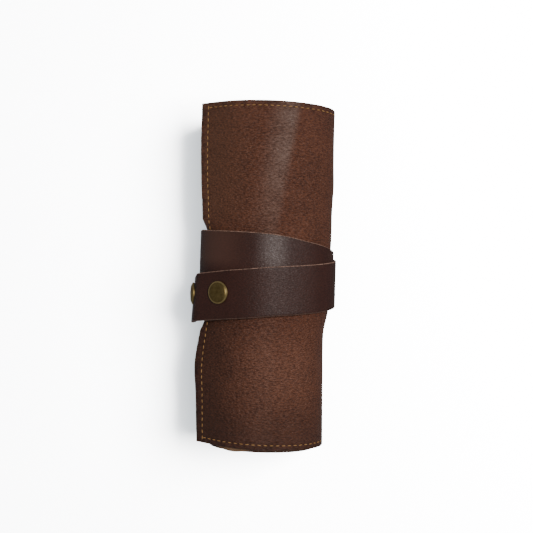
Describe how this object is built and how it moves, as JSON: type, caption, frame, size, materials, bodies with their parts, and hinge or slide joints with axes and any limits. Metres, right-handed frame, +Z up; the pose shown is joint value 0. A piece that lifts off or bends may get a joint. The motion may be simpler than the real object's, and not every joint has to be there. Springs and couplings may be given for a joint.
{
  "type": "roll-up pencil case",
  "caption": "Closed roll-up leather pencil case: a wound, lined leather sheet with an inner pencil pocket, tied round the middle by a wound leather strap with snap fasteners.",
  "frame": {"origin": "on the floor under the middle of the closed case, the strap's underside at Z 0", "axes": "+Y along the roll, +X to the right of the roll seen from above with the free flap edge on the left, +Z up"},
  "size_m": [0.0917, 0.216, 0.0503],
  "materials": {
    "roll_leather": "matt reddish-brown pull-up leather with a fine pebbled grain and raw edges",
    "strap_leather": "smoother dark chocolate leather with a soft sheen and lighter raw cut edges",
    "lining_leather": "matt light brown suede side",
    "thread": "waxed golden tan sewing thread",
    "antique_brass": "dark antique brass with a brighter worn rim"
  },
  "bodies": {
    "case": {"outer_panel": "roll_leather", "lining_panel": "lining_leather", "pencil_pocket": "lining_leather", "front_edge_thread": "thread", "top_edge_thread": "thread", "bottom_edge_thread": "thread", "pocket_seam_1": "thread", "pocket_seam_2": "thread", "pocket_seam_3": "thread", "pocket_seam_4": "thread", "pocket_seam_5": "thread", "pocket_seam_6": "thread", "pocket_seam_7": "thread", "pocket_seam_8": "thread", "strap_wrap": "strap_leather", "snap_stud": "antique_brass", "snap_post": "antique_brass"},
    "strap_tail": {"strap_tail": "strap_leather"},
    "strap_mid": {"strap_mid": "strap_leather", "snap_cap_front": "antique_brass", "snap_socket_front": "antique_brass"},
    "strap_tip": {"strap_tip": "strap_leather", "snap_cap_side": "antique_brass", "snap_socket_side": "antique_brass"}
  },
  "joints": [
    {"name": "strap_lift", "type": "hinge", "parent": "case", "child": "strap_tail", "pos_m": [0.03688, -0.00631, 0.03749], "axis": [0, 1, 0], "range_deg": [0, 120]},
    {"name": "strap_bend", "type": "hinge", "parent": "strap_tail", "child": "strap_mid", "pos_m": [-0.0135, -0.01063, 0.04901], "axis": [0, 1, 0], "range_deg": [0, 42]},
    {"name": "tip_peel", "type": "hinge", "parent": "strap_mid", "child": "strap_tip", "pos_m": [-0.03916, -0.0126, 0.03383], "axis": [0, 1, 0], "range_deg": [0, 75]}
  ],
  "couplings": [
    {"joint": "strap_bend", "follows": "strap_lift", "ratio": 0.35}
  ]
}
